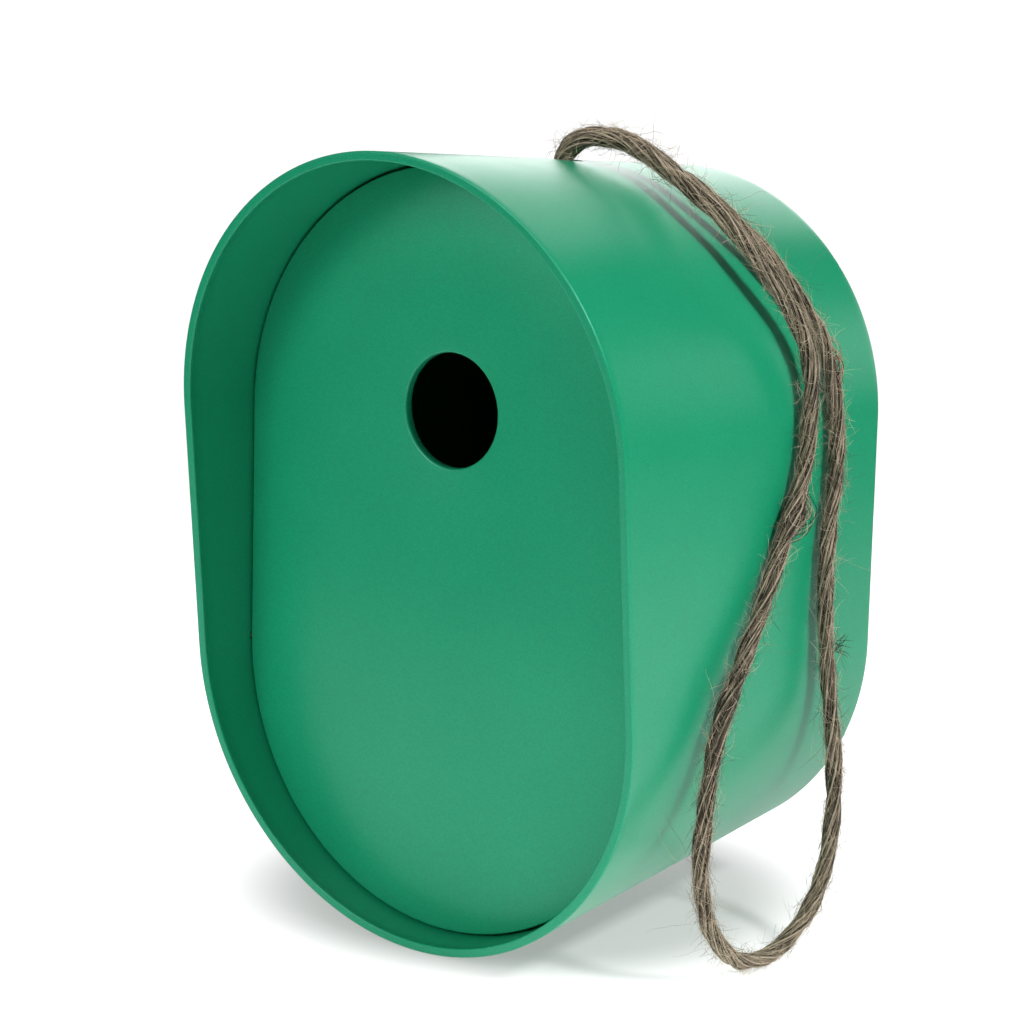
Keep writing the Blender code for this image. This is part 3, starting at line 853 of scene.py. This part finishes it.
def build_knot():
    """The stopper knot: one leg wound round both, seen only from inside the box."""
    steps = 120
    winding = []
    for step in range(steps + 1):
        share = step / steps
        angle = 2.0 * math.pi * KNOT_TURNS * share
        radius = KNOT_WINDING_RADIUS * (0.55 + 0.45 * math.sin(math.pi * min(1.0, 0.12 + 0.88 * share)))
        winding.append((KNOT_CENTRE[0] + radius * 1.06 * math.cos(angle),
                        KNOT_CENTRE[1] + radius * 0.86 * math.sin(angle),
                        KNOT_CENTRE[2] + 0.0046 - 0.0090 * share))
    top = KNOT_CENTRE[2] + 0.0073
    bottom = KNOT_CENTRE[2] - 0.0066
    routes = (
        winding[::6],
        ((0.0018, -0.0650, top), (0.0010, -0.0640, KNOT_CENTRE[2]), (-0.0036, -0.0630, bottom)),
        ((-0.0018, -0.0618, top), (-0.0008, -0.0630, KNOT_CENTRE[2]), (0.0036, -0.0640, bottom)),
    )
    parts = []
    for number, route in enumerate(routes):
        parts.extend(plies(smooth_route(route, RING_STEP), 700 + 40 * number))
    return joined("stopper_knot", parts)


# ---------------------------------------------------------------- materials

def new_material(name):
    material = bpy.data.materials.new(name)
    material.use_nodes = True
    nodes = material.node_tree.nodes
    return material, nodes, material.node_tree.links, nodes["Principled BSDF"]


def noise(nodes, links, source, scale, detail=2.0, roughness=0.5):
    texture = nodes.new("ShaderNodeTexNoise")
    texture.inputs["Scale"].default_value = scale
    texture.inputs["Detail"].default_value = detail
    texture.inputs["Roughness"].default_value = roughness
    links.new(source, texture.inputs["Vector"])
    return texture.outputs["Fac"]


def ramp(nodes, links, source, stops):
    """A colour ramp with (position, colour) stops."""
    node = nodes.new("ShaderNodeValToRGB")
    elements = node.color_ramp.elements
    while len(elements) < len(stops):
        elements.new(0.5)
    for element, (position, colour) in zip(elements, stops):
        element.position = position
        element.color = (*colour, 1.0)
    links.new(source, node.inputs["Fac"])
    return node.outputs["Color"]


def value_range(nodes, links, source, low, high):
    node = nodes.new("ShaderNodeMapRange")
    node.inputs["To Min"].default_value = low
    node.inputs["To Max"].default_value = high
    links.new(source, node.inputs["Value"])
    return node.outputs["Result"]


def multiply_add(nodes, links, source, factor, addend=None):
    node = nodes.new("ShaderNodeMath")
    node.operation = "MULTIPLY_ADD"
    links.new(source, node.inputs[0])
    node.inputs[1].default_value = factor
    node.inputs[2].default_value = 0.0
    if addend is not None:
        links.new(addend, node.inputs[2])
    return node.outputs["Value"]


def bump(nodes, links, shader, sources):
    """Bumps of (height source, distance) one over the other into the shader's normal."""
    last = None
    for source, distance in sources:
        node = nodes.new("ShaderNodeBump")
        node.inputs["Distance"].default_value = distance
        links.new(source, node.inputs["Height"])
        if last is not None:
            links.new(last, node.inputs["Normal"])
        last = node.outputs["Normal"]
    links.new(last, shader.inputs["Normal"])


def moulded_plastic(name, colour, roughness):
    """Satin moulded plastic: a fine spark-eroded texture, faint mottling and slight gloss changes."""
    material, nodes, links, shader = new_material(name)
    place = nodes.new("ShaderNodeTexCoord").outputs["Object"]
    mottle = noise(nodes, links, place, 28.0, 3.0)
    speck = noise(nodes, links, place, 2600.0, 1.0)
    dark = tuple(0.97 * value for value in colour)
    light = tuple(1.03 * value for value in colour)
    base = ramp(nodes, links, mottle, ((0.30, dark), (0.70, light)))
    speckled = nodes.new("ShaderNodeMix")
    speckled.data_type = "RGBA"
    speckled.blend_type = "MULTIPLY"
    speckled.inputs["Factor"].default_value = 1.0
    links.new(base, speckled.inputs["A"])
    tint = ramp(nodes, links, speck, ((0.30, (0.76, 0.83, 0.82)), (0.70, (1.08, 1.04, 1.05))))
    links.new(tint, speckled.inputs["B"])
    links.new(speckled.outputs["Result"], shader.inputs["Base Color"])
    shader.inputs["Specular IOR Level"].default_value = 0.50
    shader.inputs["Specular Tint"].default_value = (0.60, 0.95, 1.0, 1.0)
    gloss = noise(nodes, links, place, 60.0, 4.0)
    rough = value_range(nodes, links, gloss, roughness - 0.03, roughness + 0.04)
    links.new(rough, shader.inputs["Roughness"])
    fine = noise(nodes, links, place, 2400.0, 2.0)
    wave = noise(nodes, links, place, 45.0, 1.0)
    bump(nodes, links, shader, ((fine, 0.000030), (wave, 0.00003)))
    return material


def jute_material(name, brightness, tint=(1.0, 1.0, 1.0)):
    """Natural jute: grey-brown fibres, paler on the strands and dark between them in painted shade, and
    streaked along them; the tone also carries painted light and shade along the rope.
    """
    material, nodes, links, shader = new_material(name)
    place = nodes.new("ShaderNodeTexCoord").outputs["Object"]
    yarn = nodes.new("ShaderNodeAttribute")
    yarn.attribute_name = "yarn_place"
    tone = nodes.new("ShaderNodeAttribute")
    tone.attribute_name = "tone"
    patch = value_range(nodes, links, noise(nodes, links, place, 110.0, 3.0), 0.30, 0.70)
    streak = noise(nodes, links, yarn.outputs["Vector"], 4400.0, 3.0, 0.70)
    total = multiply_add(nodes, links, tone.outputs["Fac"], 0.38, patch)
    total = multiply_add(nodes, links, streak, 1.0, total)
    total = multiply_add(nodes, links, total, 0.5)
    shades = ((0.80, (0.010, 0.008, 0.005)), (1.04, (0.106, 0.083, 0.054)), (1.32, (0.440, 0.365, 0.265)))
    stops = []
    for position, shade in shades:
        stops.append((0.5 * position, tuple(brightness * value * part for value, part in zip(shade, tint))))
    links.new(ramp(nodes, links, total, stops), shader.inputs["Base Color"])
    links.new(value_range(nodes, links, streak, 0.75, 0.95), shader.inputs["Roughness"])
    shader.inputs["Specular IOR Level"].default_value = 0.25
    shader.inputs["Sheen Weight"].default_value = 0.08
    bump(nodes, links, shader, ((streak, 0.00016),))
    return material


def steel_material(name):
    """Stainless steel with a fine turned grain."""
    material, nodes, links, shader = new_material(name)
    place = nodes.new("ShaderNodeTexCoord").outputs["Object"]
    grain = noise(nodes, links, place, 1800.0, 2.0)
    patch = noise(nodes, links, place, 220.0, 2.0)
    links.new(ramp(nodes, links, patch, ((0.3, (0.50, 0.50, 0.49)), (0.7, (0.62, 0.62, 0.62)))),
              shader.inputs["Base Color"])
    shader.inputs["Metallic"].default_value = 1.0
    links.new(value_range(nodes, links, grain, 0.24, 0.42), shader.inputs["Roughness"])
    bump(nodes, links, shader, ((grain, 0.00001),))
    return material


def floor_material(name, brightness, centre, near, far, glow_near, glow_far):
    """A matt white table top that glows though it is no lamp; its glow, set near a centre and far from it,
    is painted light where it is strong and painted shadow where it is weak.
    """
    material, nodes, links, shader = new_material(name)
    place = nodes.new("ShaderNodeTexCoord").outputs["Object"]
    patch = noise(nodes, links, place, 3.0, 2.0)
    dark = (brightness - 0.01,) * 3
    light = (brightness + 0.01,) * 3
    links.new(ramp(nodes, links, patch, ((0.3, dark), (0.7, light))), shader.inputs["Base Color"])
    shader.inputs["Roughness"].default_value = 0.8
    shader.inputs["Specular IOR Level"].default_value = 0.1
    distance = nodes.new("ShaderNodeVectorMath")
    distance.operation = "DISTANCE"
    links.new(place, distance.inputs[0])
    distance.inputs[1].default_value = (*centre, 0.0)
    glow = nodes.new("ShaderNodeMapRange")
    glow.interpolation_type = "SMOOTHSTEP"
    glow.inputs["From Min"].default_value = near
    glow.inputs["From Max"].default_value = far
    glow.inputs["To Min"].default_value = glow_near
    glow.inputs["To Max"].default_value = glow_far
    links.new(distance.outputs["Value"], glow.inputs["Value"])
    shader.inputs["Emission Color"].default_value = (1.0, 1.0, 1.0, 1.0)
    links.new(glow.outputs["Result"], shader.inputs["Emission Strength"])
    return material


# ---------------------------------------------------------------- stage

def soft_box(name, heading, height, distance, width, tall, radiance):
    """A rectangular light aimed at the box; heading 0 is in front of it and 90 on its right, in degrees."""
    heading = math.radians(heading)
    height = math.radians(height)
    way = Vector((
        math.sin(heading) * math.cos(height),
        -math.cos(heading) * math.cos(height),
        math.sin(height),
    ))
    data = bpy.data.lights.new(name, "AREA")
    data.shape = "RECTANGLE"
    data.size = width
    data.size_y = tall
    data.energy = radiance * math.pi * width * tall
    light = bpy.data.objects.new(name, data)
    bpy.context.scene.collection.objects.link(light)
    light.location = Vector((0.0, -0.07, 0.0)) + distance * way
    light.rotation_euler = (-way).to_track_quat("-Z", "Y").to_euler()
    light.visible_camera = False


def floor_disc(name, radius, height, material):
    shape = bmesh.new()
    bmesh.ops.create_circle(shape, cap_ends=True, radius=radius, segments=96)
    disc = object_from_bmesh(name, shape)
    disc.location = (0.0, 0.0, height)
    disc.data.materials.append(material)
    return disc


def make_floors():
    """A pale floor that the camera sees, with painted shadow where its glow dims round the box, and one just
    below it that the box reflects, which glows in a pool of painted light.
    """
    ground = SHELL_LOW[2] - 0.0004
    # Painted light: the hidden floor glows brightest in a pool to the front right of the box, and lights it
    # from below.
    painted_light_floor_material = floor_material("bounce_floor_painted_light", 0.80, (0.26, -0.20), 0.05, 0.30, 1.2, 0.24)
    # Painted shadow: the seen floor's glow is weaker in a round patch under the box, on top of the lamps'
    # own shadow.
    painted_shadow_floor_material = floor_material("pale_floor_painted_shadow", 0.35, (-0.012, -0.055), 0.060, 0.100, 0.36, 1.0)
    bounce = floor_disc("studio_floor_bounce", 0.55, ground, painted_light_floor_material)
    bounce.visible_camera = False
    seen = floor_disc("studio_floor", 0.60, ground + 0.0002, painted_shadow_floor_material)
    seen.visible_glossy = False
    seen.visible_diffuse = False
    seen.visible_shadow = False


def make_lights():
    """A small key light on the right, and soft boxes in front, above and behind."""
    soft_box("key_light", 88.0, 41.0, 1.20, 0.17, 0.17, 137.0)
    soft_box("top_light", 40.0, 70.0, 1.30, 0.90, 0.90, 1.4)
    soft_box("front_light", -14.0, 27.0, 1.20, 0.42, 0.42, 8.7)
    soft_box("front_low_light", 4.0, 11.0, 1.20, 0.46, 0.42, 4.0)
    soft_box("front_left_light", -30.0, 14.0, 1.20, 0.40, 0.40, 2.6)
    soft_box("back_light", 204.0, 17.0, 1.30, 0.70, 0.46, 3.1)
    soft_box("back_right_light", 169.0, 8.0, 1.30, 0.66, 0.36, 1.6)
    soft_box("back_high_light", 200.0, 42.0, 1.30, 0.90, 0.50, 0.8)


def make_world():
    """White surroundings for the camera, which light the box only faintly."""
    world = bpy.data.worlds.new("surroundings")
    bpy.context.scene.world = world
    world.use_nodes = True
    nodes = world.node_tree.nodes
    links = world.node_tree.links
    background = nodes["Background"]
    background.inputs["Color"].default_value = (1.0, 1.0, 1.0, 1.0)
    is_camera = nodes.new("ShaderNodeLightPath").outputs["Is Camera Ray"]
    links.new(value_range(nodes, links, is_camera, 0.02, 1.05), background.inputs["Strength"])
    bpy.context.scene.view_settings.view_transform = "Standard"


# ---------------------------------------------------------------- assembly

def place_moulding(piece, material, body, node):
    """Put a finished moulding on its body, in place of its CAD node."""
    piece.data.materials.append(material)
    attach(piece, body)
    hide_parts(node)


def dress_cad_node(name, material, bevel_width=None):
    """A CAD node that stays: a better material and, where asked, bevelled edges."""
    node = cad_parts[name]
    node.data.materials.clear()
    node.data.materials.append(material)
    if bevel_width:
        bevel_edges(node, bevel_width)


def main():
    make_camera()
    jute = jute_material("jute", 1.0)
    fibre = jute_material("jute_fibre", 1.7)
    red = jute_material("jute_red", 1.2, (1.30, 0.70, 0.62))
    build_rope(jute, fibre, red)

    green = moulded_plastic("green_moulded_plastic", (0.0085, 0.292, 0.140), 0.31)
    place_moulding(build_shell(), green, "tub", "shell")
    place_moulding(build_panel(), green, "door", "front_panel")

    steel = steel_material("stainless_steel")
    catch = moulded_plastic("catch_plastic", (0.008, 0.190, 0.085), 0.42)
    nylon = moulded_plastic("nylon", (0.70, 0.68, 0.62), 0.5)
    dress_cad_node("latch_toggle", catch, 0.0004)
    dress_cad_node("latch_washer", nylon)
    for name in ("pivot_pin_left", "pivot_pin_right", "latch_screw"):
        dress_cad_node(name, steel)
    dress_cad_node("rope_washer", steel, 0.0002)

    make_floors()
    make_lights()
    make_world()


main()
